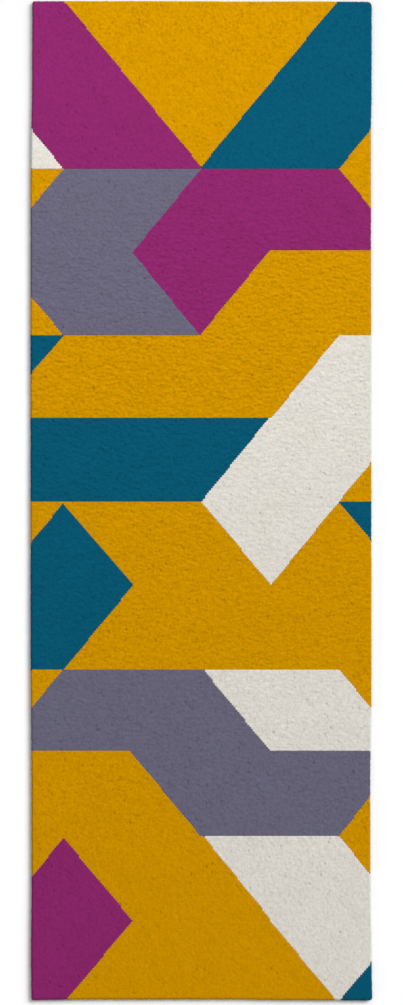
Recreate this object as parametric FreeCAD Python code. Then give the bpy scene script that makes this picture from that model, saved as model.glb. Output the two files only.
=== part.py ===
import FreeCAD, Part
import os

# Hand-tufted wool runner rug, lying flat.
#
# Frame: +Z up, +Y along the length, +X across the width. The origin is on the floor, under the
# middle of the rug. All sizes are in millimetres.
#
# From the floor up the rug is built of:
#   edge tape      four lengths stuck over the border of the underside, mitred at the corners
#   backing canvas one cloth that covers the latex; it steps up over the tape at the border
#   latex coat     the adhesive that locks the tufts in their cloth
#   tufting cloth  the woven cloth that carries the tufts, its margin folded under all round
#   pile           one field of cut wool for each closed area of one colour

# Finished size over the pile
RUG_WIDTH = 820.0
RUG_LENGTH = 2410.0

# Corners of the pile, seen from above; hand-cut, so each has its own radius
RADIUS_TOP_LEFT = 6.0
RADIUS_TOP_RIGHT = 12.0
RADIUS_BOTTOM_RIGHT = 7.0
RADIUS_BOTTOM_LEFT = 5.0

# Thickness of each layer
TAPE_THICKNESS = 0.8
CANVAS_THICKNESS = 1.0
CLOTH_THICKNESS = 1.0
LATEX_THICKNESS = 2.2
PILE_HEIGHT = 8.3

# Rounding of the pile's upper edge, where the cut tufts lean outwards
PILE_ROUNDING = 3.5

# The cloth's fold lies a little inside the pile, and the layers under it a little further in
CLOTH_INSET = 2.0
UNDER_LAYER_INSET = 3.5

# Widths of the folded margin and of the tape
MARGIN_WIDTH = 28.0
TAPE_WIDTH = 40.0

# Levels, counted up from the floor
TAPE_TOP = TAPE_THICKNESS
CANVAS_TOP = CANVAS_THICKNESS
CANVAS_BORDER_TOP = TAPE_TOP + CANVAS_THICKNESS
MARGIN_TOP = CANVAS_BORDER_TOP + CLOTH_THICKNESS
LATEX_TOP = CANVAS_TOP + LATEX_THICKNESS
CLOTH_TOP = LATEX_TOP + CLOTH_THICKNESS
PILE_TOP = CLOTH_TOP + PILE_HEIGHT

# The pattern's grid. Its diagonals run one column across for each row along. Columns are counted
# from the middle of the rug towards +X, and rows from the top end towards the bottom end.
COLUMN_PITCH = 166.0
ROW_PITCH = 201.0
PATTERN_TOP = 1204.0

# The pile is worked in straight lines of tufts: so many of them fill one row or column
TUFT_ROWS_PER_ROW = 38.0
TUFTS_PER_COLUMN = 36.0

# The rug is tufted by hand, so the borders that run straight across lie a few millimetres above
# or below their grid rows. Rows 0 to 12; positive is towards the bottom end.
ROW_WANDER = (0.0, 0.8, 1.5, 2.2, 1.2, -0.9, 0.6, 0.8, 3.9, -1.4, 3.3, 1.5, 0.0)

# Columns and rows just outside the rug, where a field that reaches the edge is drawn to before
# it is trimmed to the rug's outline
SIDE = 2.6
HALF_ROWS = SIDE - 2.0
HEAD = -0.1
FOOT = 12.1


def at(column, row, tufts=0.0, lines=0.0):
    """A corner of the pattern, moved by a few tufts across or a few lines along."""
    return (column + tufts / TUFTS_PER_COLUMN, row + lines / TUFT_ROWS_PER_ROW)


# Corners that more than one field shares
TRIANGLE_LEFT = at(-2.0 + HEAD, HEAD, 0.6)
TRIANGLE_RIGHT = at(2.0 - HEAD, HEAD, -1.0)
TRIANGLE_TIP = at(0.0, 2.0, 0.0, -1.0)
ARROW_TIP = at(-1.0, 3.0)
ARROW_BEND = at(1.0, 3.0, 0.0, -1.0)
ARROW_SIDE = at(SIDE, 3.0, 0.0, -1.0)
ARROW_FOOT = at(0.0, 4.0, -0.8)
BAND_END = at(1.0, 5.0, 0.8)
BAR_END = at(1.0, 5.0, -0.4)
IVORY_FOOT = at(1.0, 7.0, 0.5)
DIAMOND_TOP = at(-2.0, 6.0, -0.3, 0.8)
DIAMOND_SIDE = at(-SIDE, 6.0 + HALF_ROWS, 0.0, 0.8)
DIAMOND_TIP = at(-1.0, 7.0, 0.5)
SLATE_TOP = at(0.0, 8.0, 1.0)
SLATE_LEFT = at(-1.0, 9.0, -1.4)
SLATE_FOOT = at(0.0, 10.0, -0.5)
IVORY_TOP = at(0.0, 10.0, 1.0)
LOW_DIAMOND_TOP = at(-2.0, 10.0, 0.0, 1.0)
LOW_DIAMOND_SIDE = at(-SIDE, 10.0 + HALF_ROWS, 0.0, 1.0)
LOW_DIAMOND_TIP = at(-1.0, 11.0, 0.0, 1.0)
LOW_DIAMOND_FOOT = at(-2.0 + 12.0 - FOOT, FOOT, 0.9)
JOG_ABOVE = at(1.0, 11.0)
JOG_BELOW = at(1.0, 11.0, 0.0, 1.0)
CORNER_TIP = at(2.0, 12.0, -1.0)

# Each field of pile as (column, row) corners on the grid
FIELDS = {
    "gold_top_triangle": [TRIANGLE_LEFT, TRIANGLE_RIGHT, TRIANGLE_TIP],
    "magenta_top_left": [
        (-SIDE, HEAD),
        TRIANGLE_LEFT,
        TRIANGLE_TIP,
        (0.0, 2.0),
        (-2.0, 2.0),
        (-SIDE, 2.0 - HALF_ROWS),
    ],
    "teal_top_right": [
        TRIANGLE_RIGHT,
        (SIDE, HEAD),
        (SIDE, 2.0 - HALF_ROWS),
        (2.0, 2.0),
        (0.0, 2.0),
        TRIANGLE_TIP,
    ],
    "ivory_left_tip": [(-SIDE, 2.0 - HALF_ROWS), (-2.0, 2.0), (-SIDE, 2.0)],
    "gold_upper_left_tip": [(-SIDE, 2.0), (-2.0, 2.0), (-SIDE, 2.0 + HALF_ROWS)],
    "gold_upper_right_tip": [(SIDE, 2.0 - HALF_ROWS), (2.0, 2.0), (SIDE, 2.0 + HALF_ROWS)],
    "slate_upper": [
        (-2.0, 2.0),
        (0.0, 2.0),
        ARROW_TIP,
        ARROW_FOOT,
        (-2.0, 4.0),
        (-SIDE, 4.0 - HALF_ROWS),
        (-SIDE, 2.0 + HALF_ROWS),
    ],
    "magenta_arrow": [
        (0.0, 2.0),
        (2.0, 2.0),
        (SIDE, 2.0 + HALF_ROWS),
        ARROW_SIDE,
        ARROW_BEND,
        ARROW_FOOT,
        ARROW_TIP,
    ],
    "gold_left_notch": [(-SIDE, 4.0 - HALF_ROWS), (-2.0, 4.0), (-SIDE, 4.0)],
    "gold_upper_band": [
        ARROW_BEND,
        ARROW_SIDE,
        (SIDE, 4.0),
        (2.0, 4.0),
        BAND_END,
        (-SIDE, 5.0),
        (-SIDE, 4.0 + HALF_ROWS),
        (-2.0, 4.0),
        ARROW_FOOT,
    ],
    "teal_left_tip": [(-SIDE, 4.0), (-2.0, 4.0), (-SIDE, 4.0 + HALF_ROWS)],
    "ivory_arrow": [
        (2.0, 4.0),
        (SIDE, 4.0),
        (SIDE, 6.0 - HALF_ROWS),
        (2.0, 6.0),
        IVORY_FOOT,
        (0.0, 6.0),
        BAR_END,
        BAND_END,
    ],
    "teal_bar": [(-SIDE, 5.0), BAR_END, (0.0, 6.0), (-SIDE, 6.0)],
    "gold_right_sliver": [(SIDE, 6.0 - HALF_ROWS), (2.0, 6.0), (SIDE, 6.0)],
    "teal_right_tip": [(2.0, 6.0), (SIDE, 6.0), (SIDE, 6.0 + HALF_ROWS)],
    "teal_diamond": [DIAMOND_TOP, DIAMOND_TIP, (-2.0, 8.0), (-SIDE, 8.0), DIAMOND_SIDE],
    "gold_middle": [
        (-SIDE, 6.0),
        (0.0, 6.0),
        IVORY_FOOT,
        (2.0, 6.0),
        (SIDE, 6.0 + HALF_ROWS),
        (SIDE, 8.0 + HALF_ROWS),
        (2.0, 8.0),
        (-2.0, 8.0),
        DIAMOND_TIP,
        DIAMOND_TOP,
        DIAMOND_SIDE,
    ],
    "gold_lower_left_tip": [(-SIDE, 8.0), (-2.0, 8.0), (-SIDE, 8.0 + HALF_ROWS)],
    "slate_lower": [
        (-2.0, 8.0),
        SLATE_TOP,
        (1.0, 9.0),
        (SIDE, 9.0),
        (SIDE, 10.0 - HALF_ROWS),
        (2.0, 10.0),
        SLATE_FOOT,
        SLATE_LEFT,
        (-SIDE, 9.0),
        (-SIDE, 8.0 + HALF_ROWS),
    ],
    "ivory_lower": [SLATE_TOP, (2.0, 8.0), (SIDE, 8.0 + HALF_ROWS), (SIDE, 9.0), (1.0, 9.0)],
    "gold_lower_right_tip": [(SIDE, 10.0 - HALF_ROWS), (2.0, 10.0), (SIDE, 10.0 + HALF_ROWS)],
    "gold_bottom": [
        (-SIDE, 9.0),
        SLATE_LEFT,
        SLATE_FOOT,
        IVORY_TOP,
        JOG_ABOVE,
        JOG_BELOW,
        CORNER_TIP,
        (2.0, 12.0),
        (2.0, FOOT),
        LOW_DIAMOND_FOOT,
        LOW_DIAMOND_TIP,
        LOW_DIAMOND_TOP,
        LOW_DIAMOND_SIDE,
    ],
    "magenta_diamond": [
        LOW_DIAMOND_TOP,
        LOW_DIAMOND_TIP,
        LOW_DIAMOND_FOOT,
        (-SIDE, FOOT),
        LOW_DIAMOND_SIDE,
    ],
    "ivory_bottom": [
        IVORY_TOP,
        (2.0, 10.0),
        (SIDE, 10.0 + HALF_ROWS),
        (SIDE, 12.0 - HALF_ROWS),
        (2.0, 12.0),
        CORNER_TIP,
        JOG_BELOW,
        JOG_ABOVE,
    ],
    "teal_bottom_corner": [(SIDE, 12.0 - HALF_ROWS), (2.0, 12.0), (2.0, FOOT), (SIDE, FOOT)],
}


def wander(row):
    """How far a border at this row lies from its place on the grid."""
    inside = min(max(row, 0.0), 11.999)
    whole = int(inside)
    share = inside - whole
    return ROW_WANDER[whole] * (1.0 - share) + ROW_WANDER[whole + 1] * share


def grid_point(column, row, level):
    """A corner of the pattern, at a height above the floor."""
    y = PATTERN_TOP - row * ROW_PITCH - wander(row)
    return FreeCAD.Vector(column * COLUMN_PITCH, y, level)


def prism(points, height):
    """A straight prism on a closed outline."""
    face = Part.Face(Part.makePolygon(points + [points[0]]))
    return face.extrude(FreeCAD.Vector(0.0, 0.0, height))


def near(edge, x, y):
    """Whether the upright edge stands at this corner."""
    box = edge.BoundBox
    return abs(box.Center.x - x) < 0.01 and abs(box.Center.y - y) < 0.01 and box.ZLength > 0.01


def slab(inset, bottom, top):
    """A flat slab with the rug's outline, drawn in by inset, between two levels."""
    half_width = RUG_WIDTH / 2.0 - inset
    half_length = RUG_LENGTH / 2.0 - inset
    corner = FreeCAD.Vector(-half_width, -half_length, bottom)
    shape = Part.makeBox(2.0 * half_width, 2.0 * half_length, top - bottom, corner)
    corners = [
        (-half_width, half_length, RADIUS_TOP_LEFT),
        (half_width, half_length, RADIUS_TOP_RIGHT),
        (half_width, -half_length, RADIUS_BOTTOM_RIGHT),
        (-half_width, -half_length, RADIUS_BOTTOM_LEFT),
    ]
    for x, y, radius in corners:
        upright = [edge for edge in shape.Edges if near(edge, x, y)]
        shape = shape.makeFillet(max(radius - inset, 1.0), upright)
    return shape


def rounded_pile_block():
    """The whole pile as one block, its upper edge rounded all round."""
    block = slab(0.0, CLOTH_TOP, PILE_TOP)
    rim = [edge for edge in block.Edges if edge.BoundBox.ZMin > PILE_TOP - 0.01]
    return block.makeFillet(PILE_ROUNDING, rim)


def pile_field(corners, block):
    """One field of pile, trimmed to the rug's outline."""
    points = [grid_point(column, row, CLOTH_TOP - 1.0) for column, row in corners]
    return prism(points, PILE_HEIGHT + 2.0).common(block)


def tufting_cloth():
    """The cloth that carries the tufts, with its margin folded under like a hem."""
    outside = slab(CLOTH_INSET, CANVAS_BORDER_TOP, CLOTH_TOP)
    hollow = slab(CLOTH_INSET + CLOTH_THICKNESS, MARGIN_TOP, LATEX_TOP)
    window = slab(CLOTH_INSET + MARGIN_WIDTH, CANVAS_BORDER_TOP - 1.0, MARGIN_TOP)
    return outside.cut(hollow).cut(window)


def backing_canvas():
    """The cotton cloth on the underside, which steps up over the tape along its border."""
    inner = TAPE_WIDTH + UNDER_LAYER_INSET
    middle = slab(inner, 0.0, CANVAS_TOP)
    border = slab(UNDER_LAYER_INSET, TAPE_TOP, CANVAS_BORDER_TOP)
    window = slab(inner + CANVAS_THICKNESS, TAPE_TOP - 1.0, CANVAS_BORDER_TOP + 1.0)
    return middle.fuse(border.cut(window)).removeSplitter()


def latex_coat(cloth, canvas):
    """The adhesive fills all the room between the two cloths."""
    room = slab(CLOTH_INSET + CLOTH_THICKNESS, CANVAS_TOP, LATEX_TOP)
    below_margin = slab(0.0, CANVAS_TOP, CANVAS_BORDER_TOP)
    below_margin = below_margin.cut(slab(CLOTH_INSET + MARGIN_WIDTH, 0.0, LATEX_TOP))
    return room.cut(below_margin).cut(cloth).cut(canvas)


def edge_tape(side):
    """One length of tape along a side of the underside, cut at 45 degrees at both ends."""
    half_width = RUG_WIDTH / 2.0
    half_length = RUG_LENGTH / 2.0
    reach = half_length - half_width
    outline = {
        "top": [(-half_width, half_length), (half_width, half_length), (0.0, reach)],
        "bottom": [(-half_width, -half_length), (half_width, -half_length), (0.0, -reach)],
        "left": [
            (-half_width, half_length),
            (0.0, reach),
            (0.0, -reach),
            (-half_width, -half_length),
        ],
        "right": [
            (half_width, half_length),
            (0.0, reach),
            (0.0, -reach),
            (half_width, -half_length),
        ],
    }[side]
    ring = slab(UNDER_LAYER_INSET, 0.0, TAPE_TOP)
    ring = ring.cut(slab(UNDER_LAYER_INSET + TAPE_WIDTH, -1.0, TAPE_TOP + 1.0))
    points = [FreeCAD.Vector(x, y, -1.0) for x, y in outline]
    return ring.common(prism(points, TAPE_TOP + 2.0))


def save(name, shape):
    """Writes one node, after checking that it is one closed solid."""
    solids = shape.Solids
    if len(solids) != 1 or not solids[0].isValid():
        raise RuntimeError(f"{name} is {len(solids)} solids")
    solids[0].exportStep(os.path.join("parts", name + ".step"))
    box = solids[0].BoundBox
    print(f"{name}: {box.XLength:.1f} x {box.YLength:.1f} x {box.ZLength:.1f}")


def main():
    os.makedirs("parts", exist_ok=True)
    block = rounded_pile_block()
    filled = 0.0
    for name, corners in FIELDS.items():
        field = pile_field(corners, block)
        filled += field.Volume
        save("pile_" + name, field)
    print(f"pile fields fill {filled / block.Volume:.6f} of the pile block")
    cloth = tufting_cloth()
    canvas = backing_canvas()
    save("tufting_cloth", cloth)
    save("backing_canvas", canvas)
    save("latex_coat", latex_coat(cloth, canvas))
    for side in ("top", "bottom", "left", "right"):
        save("edge_tape_" + side, edge_tape(side))


main()
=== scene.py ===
import math

import bmesh
import bpy
import numpy as np
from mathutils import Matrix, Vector


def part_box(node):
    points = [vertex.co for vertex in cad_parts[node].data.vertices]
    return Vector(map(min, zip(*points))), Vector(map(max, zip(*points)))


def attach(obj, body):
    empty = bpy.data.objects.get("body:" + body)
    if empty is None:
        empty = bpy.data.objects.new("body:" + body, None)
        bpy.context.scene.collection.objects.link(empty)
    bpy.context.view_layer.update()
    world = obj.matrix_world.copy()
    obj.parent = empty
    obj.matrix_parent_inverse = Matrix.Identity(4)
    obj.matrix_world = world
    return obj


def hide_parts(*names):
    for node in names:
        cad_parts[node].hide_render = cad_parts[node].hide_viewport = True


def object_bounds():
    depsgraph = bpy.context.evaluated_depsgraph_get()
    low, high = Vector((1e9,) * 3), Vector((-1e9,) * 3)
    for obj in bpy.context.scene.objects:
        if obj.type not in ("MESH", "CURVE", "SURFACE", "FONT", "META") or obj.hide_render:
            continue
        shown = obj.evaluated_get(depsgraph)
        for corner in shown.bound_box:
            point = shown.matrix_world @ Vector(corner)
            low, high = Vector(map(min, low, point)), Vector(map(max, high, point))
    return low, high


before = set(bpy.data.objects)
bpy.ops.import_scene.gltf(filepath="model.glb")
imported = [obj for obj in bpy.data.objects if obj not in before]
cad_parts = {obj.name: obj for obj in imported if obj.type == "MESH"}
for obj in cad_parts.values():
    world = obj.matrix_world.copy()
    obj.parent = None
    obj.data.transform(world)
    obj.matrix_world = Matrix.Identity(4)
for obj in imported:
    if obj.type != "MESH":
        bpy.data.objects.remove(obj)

CAD_LOW, CAD_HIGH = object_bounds()
RNG = np.random.default_rng(20812)

# -------- sizes, in metres

MM = 0.001
HALF_X = CAD_HIGH.x
HALF_Y = CAD_HIGH.y
PILE_NODES = sorted(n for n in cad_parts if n.startswith("pile_"))
PILE_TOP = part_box("pile_gold_middle")[1].z
PILE_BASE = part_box("tufting_cloth")[1].z

# The tufts stand in straight lines across the rug. The pattern's grid is 166 mm by 201 mm, and
# it holds 36 tufts by 38 lines, so a border between colours runs between tufts. Each tuft is SUB
# vertices wide: the gap before it and its two shoulders.
TUFT_X = 166.0 * MM / 36
TUFT_Y = 201.0 * MM / 38
FIRST_LINE_Y = 1204.0 * MM
FULL_COLUMNS = 88
FULL_LINES = 454
SUB = 3
TUFT_SHOULDER = 0.27
VERTEX_PITCH = (TUFT_X / SUB, TUFT_Y / SUB)

# What sets one tuft apart from the next: spreads, and the most that a tuft may differ
TUFT_HEIGHT = 0.10 * MM
LEAN_X, MOST_LEAN_X = 0.34 * MM, 0.6 * MM
LEAN_Y, MOST_LEAN_Y = 0.38 * MM, 0.75 * MM
GAP_STRAY, MOST_GAP_STRAY = 0.42 * MM, 0.6 * MM
TUFT_TONE = 0.17
SUNK_SHARE = 0.004
SUNK_DEPTH = 0.9 * MM

# The pile's relief is soft lumps, or a grain of short lines across the rug, given by their size
# and by how steep they are towards RELIEF_AZIMUTH, close to where the key light stands. Between
# them are hollows, a little lower, where the wool is painted darker: painted shade. Undyed wool
# blooms most, so its relief is the lowest. The stations are places along the rug, from the lower
# end up.
RELIEF_AZIMUTH = math.radians(46.0)
LUMP = 2.3 * MM
GRAIN = 1.95 * MM
GRAIN_STRETCH = 2.2 * MM
GRAIN_TURN = 0.20
RELIEF_OF_COLOUR = {"gold": 1.0, "teal": 0.87, "magenta": 0.77, "slate": 0.81, "ivory": 0.65}
RELIEF_OF_FIELD = {"pile_gold_bottom": 0.74, "pile_ivory_bottom": 1.12}
STATIONS = (-1.15, -0.85, -0.70, -0.30, 0.00, 0.30, 0.55, 0.78, 0.95, 1.15)
STEEPNESS = (0.030, 0.040, 0.064, 0.073, 0.088, 0.122, 0.142, 0.075, 0.036, 0.047)
HOLLOWNESS = (0.54, 0.72, 0.90, 0.70, 0.64, 0.70, 0.66, 0.70, 0.66, 0.88)
GRAIN_SHARE = (0.0, 0.1, 0.95, 1.0, 1.0, 1.0, 1.0, 1.0, 0.75, 0.3)
HOLLOW, HOLLOW_DEPTH, HOLLOW_SKEW = 1.5 * MM, 0.04 * MM, 0.18
PATCH, PATCH_HEIGHT = 12.0 * MM, 0.10 * MM
SWELL, SWELL_HEIGHT = 85.0 * MM, 0.12 * MM
MEAN_LEVEL = -0.55 * MM
LOWEST_LEVEL, HIGHEST_LEVEL = -1.6 * MM, 0.75 * MM

# The gaps between tufts: how deep they are, how much that differs, and how much deeper the
# crossing of two gaps is
GAP = 0.16 * MM
GAP_SPREAD = 0.6
DEEPEST_GAP = 3.0 * GAP
CROSSING = 1.5

# How much painted shade darkens the wool, which the material reads: in hollows and sunk tufts,
# and down in the gaps, on the flank, on the strands and under the pile
MEAN_PAINTED_SHADE = 0.4
HOLLOW_TO_PAINTED_SHADE = 0.16
SUNK_TO_PAINTED_SHADE = 0.4
HOLLOW_PAINTED_SHADE = 0.45
GAP_PAINTED_SHADE, FLANK_PAINTED_SHADE, STRAND_PAINTED_SHADE, BASE_PAINTED_SHADE = 0.7, 0.45, 0.2, 1.0

# How far the borders between colours are drawn to their straight lines, and how far they wander
BORDER_EASE = 0.35
BORDER_WANDER = 0.25 * MM
BORDER_ROUNDS = 8

# The pile's outer edge. The lattice of tufts ends RIM_INSET inside the outline. Each level of
# the flank has its own inset, and its height as a share of the rim's height above the cloth.
RIM_INSET = 2.0 * MM
RIM_SAMPLE = 0.2 * MM
STILL_AT_RIM, FREE_FROM_RIM = 3.0 * MM, 7.0 * MM
ROUNDING_WIDTH = {"left": 6.0 * MM, "right": 3.8 * MM, "top": 3.8 * MM, "bottom": 9.0 * MM}
ROUNDING_DEPTH = {"left": 3.5 * MM, "right": 3.6 * MM, "top": 3.6 * MM, "bottom": 3.7 * MM}
FLANK_LEVELS = ((0.5 * MM, 0.84), (-0.2 * MM, 0.60), (0.4 * MM, 0.30))
FLANK_UNEVEN = 0.12 * MM
FLANK_LAYERS = range(1, len(FLANK_LEVELS) + 1)
BASE_LAYER = len(FLANK_LEVELS) + 1
BASE_INSET = 1.3 * MM
BASE_RIB = 0.6
RIB_DEPTH = 0.5 * MM
SPLAY, MOST_SPLAY = 0.3 * MM, 0.8 * MM
SPLAY_INWARD = np.array((1.0, 0.62, 0.28, 0.0))
CORNER_RADII = {(-1, 1): 6.0 * MM, (1, 1): 12.0 * MM, (1, -1): 7.0 * MM, (-1, -1): 5.0 * MM}
LEAST_RADIUS = 1.0 * MM

# The ends of wool that stick out of the flank: tapering spikes. They turn sideways by
# STRAND_TURN radians or so, and they are shorter at the upper end and on the right side.
STRANDS_AT_VERTEX = 6
STRAND_LEVELS = (0, 0, 1, 1, 2)
STRAND_RADIUS = 0.20 * MM
THIN_STRAND, THICK_STRAND = 0.7, 1.2
STRAND_ROOT = 0.9 * MM
STRAND_REACH, LEAST_REACH, MOST_REACH = 1.8 * MM, 0.3 * MM, 4.6 * MM
SHORT_REACH = 0.6
STRAND_TURN = 0.45
STRAND_RISE, STRAND_RISE_SPREAD = -0.10, 0.22
STRAND_DROOP = 0.12
STRAND_SPREAD = 0.8 * MM
STRAND_MIDDLE, STRAND_TAPER = 0.45, 0.8

# How far the outline of the hand-made rug strays from its straight sides, in mm outward, at
# places along each side
SIDE_PLACES = (-1.20, -1.13, -1.06, -0.96, -0.66, -0.50, -0.40, 0.30, 0.76, 0.88, 0.97, 1.20)
STRAY_LEFT = (-0.4, 0.6, 0.4, -0.9, -0.5, 0.6, 1.5, 1.9, 1.4, 0.5, -2.0, -2.6)
STRAY_RIGHT = (2.8, 1.7, 0.4, -1.3, -1.9, 0.7, 1.0, 0.5, -0.3, -0.6, 1.2, 1.6)
END_PLACES = (-0.40, -0.30, -0.15, 0.00, 0.10, 0.15, 0.25, 0.40)
STRAY_TOP = (0.1, 0.3, 0.3, -0.2, -0.7, -0.7, -0.4, -1.2)
STRAY_BOTTOM = (0.5, -1.1, -1.3, -1.5, -1.6, -0.3, 0.6, 1.4)
STRAY_REACH = 45.0 * MM


# -------- random values and fields

def limited(spread, most, shape):
    """Random offsets of the given spread, none larger than most."""
    return np.clip(RNG.normal(0.0, spread, shape), -most, most)


# How far back from the outline each tuft stands. There are more values than the rug has tufts
# at an end, or lines along a side.
SPLAY_END = np.abs(limited(SPLAY, MOST_SPLAY, 400))
SPLAY_SIDE = np.abs(limited(SPLAY, MOST_SPLAY, 600))


def frequencies(shape):
    """Waves per metre across and along the rug, whose lattice runs from the upper end down."""
    fx = np.fft.rfftfreq(shape[1])[None, :] / VERTEX_PITCH[0]
    fy = -np.fft.fftfreq(shape[0])[:, None] / VERTEX_PITCH[1]
    return fx, fy


def size_filter(fx, fy, size):
    """Lets through the waves that bumps of the given size are made of."""
    return np.exp(-2.0 * math.pi**2 * (fx**2 + fy**2) * size**2)


def filtered_noise(shape, seed, keep):
    """Noise of spread 1 that is made of the waves in keep."""
    white = np.random.default_rng(seed).normal(0.0, 1.0, shape)
    smooth = np.fft.irfft2(np.fft.rfft2(white) * keep, s=shape)
    return (smooth - smooth.mean()) / smooth.std()


def soft_noise(shape, size, seed):
    """Smooth noise with round bumps of the given size."""
    return filtered_noise(shape, seed, size_filter(*frequencies(shape), size))


def grain_noise(shape, size, seed):
    """Smooth noise with the bumps that a light from RELIEF_AZIMUTH shows as short lines across
    the rug."""
    fx, fy = frequencies(shape)
    whole = np.maximum(np.hypot(fx, fy), 1e-9)
    towards = (fx * math.cos(RELIEF_AZIMUTH) + fy * math.sin(RELIEF_AZIMUTH)) / whole
    keep = size_filter(fx, fy, size) * (fy / whole) * towards / (towards**2 + GRAIN_TURN**2)
    return filtered_noise(shape, seed, keep * size_filter(fx, 0.0, GRAIN_STRETCH))


def of_steepness_1(height, x, y):
    """The height field with a spread of slopes of 1 towards RELIEF_AZIMUTH, its rim left out."""
    inside = (slice(2, -2), slice(2, -2))
    across = np.gradient(height, axis=1) / np.gradient(x, axis=1)
    along = np.gradient(height, axis=0) / np.gradient(y, axis=0)
    slope = across * math.cos(RELIEF_AZIMUTH) + along * math.sin(RELIEF_AZIMUTH)
    return height / slope[inside].std()


# -------- the outline

def rounded_corners(x, y, inset):
    """Bends the square corners of a lattice into the rug's rounded ones. The lattice ends inset
    inside the outline, and a corner's radius there is never under LEAST_RADIUS."""
    x, y = x.copy(), y.copy()
    for (side_x, side_y), outline_radius in CORNER_RADII.items():
        radius = max(outline_radius, inset + LEAST_RADIUS)
        u = side_x * x - (HALF_X - radius)
        v = side_y * y - (HALF_Y - radius)
        there = (u > 0) & (v > 0)
        scale = np.where(there, np.maximum(u, v) / np.maximum(np.hypot(u, v), 1e-9), 1.0)
        x = np.where(there, side_x * (HALF_X - radius + u * scale), x)
        y = np.where(there, side_y * (HALF_Y - radius + v * scale), y)
    return x, y


def outward(x, y):
    """The way out of the rug, across its outline, at each point of the rim."""
    band = 1.0 * MM + RIM_INSET
    nx = np.where(x > 0, 1.0, -1.0) * (np.abs(x) > HALF_X - band)
    ny = np.where(y > 0, 1.0, -1.0) * (np.abs(y) > HALF_Y - band)
    for (side_x, side_y), radius in CORNER_RADII.items():
        u = side_x * x - (HALF_X - radius)
        v = side_y * y - (HALF_Y - radius)
        there = (u > 0) & (v > 0)
        size = np.maximum(np.hypot(u, v), 1e-9)
        nx = np.where(there, side_x * u / size, nx)
        ny = np.where(there, side_y * v / size, ny)
    size = np.maximum(np.hypot(nx, ny), 1e-9)
    return nx / size, ny / size


def strayed(x, y):
    """Points moved with the outline, the less so the further inside it they are."""
    side_left = np.interp(y, SIDE_PLACES, STRAY_LEFT) * MM
    side_right = np.interp(y, SIDE_PLACES, STRAY_RIGHT) * MM
    end_top = np.interp(x, END_PLACES, STRAY_TOP) * MM
    end_bottom = np.interp(x, END_PLACES, STRAY_BOTTOM) * MM
    near_x = np.clip(1.0 - (HALF_X - np.abs(x)) / STRAY_REACH, 0.0, 1.0)
    near_y = np.clip(1.0 - (HALF_Y - np.abs(y)) / STRAY_REACH, 0.0, 1.0)
    moved_x = x + near_x * np.where(x > 0, side_right, -side_left)
    moved_y = y + near_y * np.where(y > 0, end_top, -end_bottom)
    return moved_x, moved_y


def rim_drop(x, y):
    """How far the pile's top falls towards its rounded rim."""
    from_side = {"left": x + HALF_X, "right": HALF_X - x, "top": HALF_Y - y, "bottom": y + HALF_Y}
    drop = 0.0 * x
    for side, distance in from_side.items():
        share = np.clip(1.0 - distance / ROUNDING_WIDTH[side], 0.0, 1.0)
        drop = np.maximum(drop, ROUNDING_DEPTH[side] * (1.0 - np.sqrt(1.0 - share**2)))
    return drop


# -------- the lattice of tufts

def tuft_lines():
    """The lines between columns of tufts, and between lines of tufts from the top end down."""
    across = np.arange(-FULL_COLUMNS, FULL_COLUMNS + 1) * TUFT_X
    x = np.concatenate(([-HALF_X + RIM_INSET], across, [HALF_X - RIM_INSET]))
    down = FIRST_LINE_Y - np.arange(1, FULL_LINES + 1) * TUFT_Y
    last = (down[-1] - HALF_Y) / 2.0
    y = np.concatenate(([HALF_Y - RIM_INSET], down, [last, -HALF_Y + RIM_INSET]))
    return x, y


def subdivided(lines):
    """The places of SUB vertices to a tuft: the gap before it and its two shoulders."""
    start, width = lines[:-1], np.diff(lines)
    stops = [start, start + TUFT_SHOULDER * width, start + (1 - TUFT_SHOULDER) * width]
    return np.append(np.stack(stops, axis=1).ravel(), lines[-1])


def bottom_triangles(node):
    """The triangles of a CAD node's underside, seen from above."""
    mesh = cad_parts[node].data
    mesh.calc_loop_triangles()
    points = np.array([v.co[:] for v in mesh.vertices])
    triangles = np.array([t.vertices[:] for t in mesh.loop_triangles])
    corners = points[triangles]
    low = corners[:, :, 2].max(axis=1) < PILE_BASE + 0.1 * MM
    return corners[low][:, :, :2]


def in_triangle(x, y, corners):
    """Which of the points lie in the triangle, whichever way round its corners go."""
    turns = []
    for p, q in zip(corners, np.roll(corners, -1, axis=0)):
        turns.append((q[0] - p[0]) * (y - p[1]) - (q[1] - p[1]) * (x - p[0]))
    turns = np.stack(turns)
    return (turns >= 0).all(axis=0) | (turns <= 0).all(axis=0)


def field_of_each_tuft(x_lines, y_lines):
    """Which pile field each tuft belongs to, as an index into PILE_NODES. A tuft at the rim
    belongs to the field that meets the outline there."""
    cx = (x_lines[:-1] + x_lines[1:]) / 2.0
    cy = (y_lines[:-1] + y_lines[1:]) / 2.0
    cx[[0, -1]] = -HALF_X + RIM_SAMPLE, HALF_X - RIM_SAMPLE
    cy[[0, -1]] = HALF_Y - RIM_SAMPLE, -HALF_Y + RIM_SAMPLE
    gx, gy = np.meshgrid(cx, cy)
    label = np.full(gx.shape, -1)
    for number, node in enumerate(PILE_NODES):
        for corners in bottom_triangles(node):
            low, high = corners.min(axis=0), corners.max(axis=0)
            columns = np.searchsorted(cx, [low[0], high[0]])
            rows = np.searchsorted(-cy, [-high[1], -low[1]])
            part = (slice(*rows), slice(*columns))
            label[part][in_triangle(gx[part], gy[part], corners)] = number
    while (label < 0).any():
        for step, axis in ((1, 0), (-1, 0), (1, 1), (-1, 1)):
            beside = np.roll(label, step, axis)
            label = np.where((label < 0) & (beside >= 0), beside, label)
    return label


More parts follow.
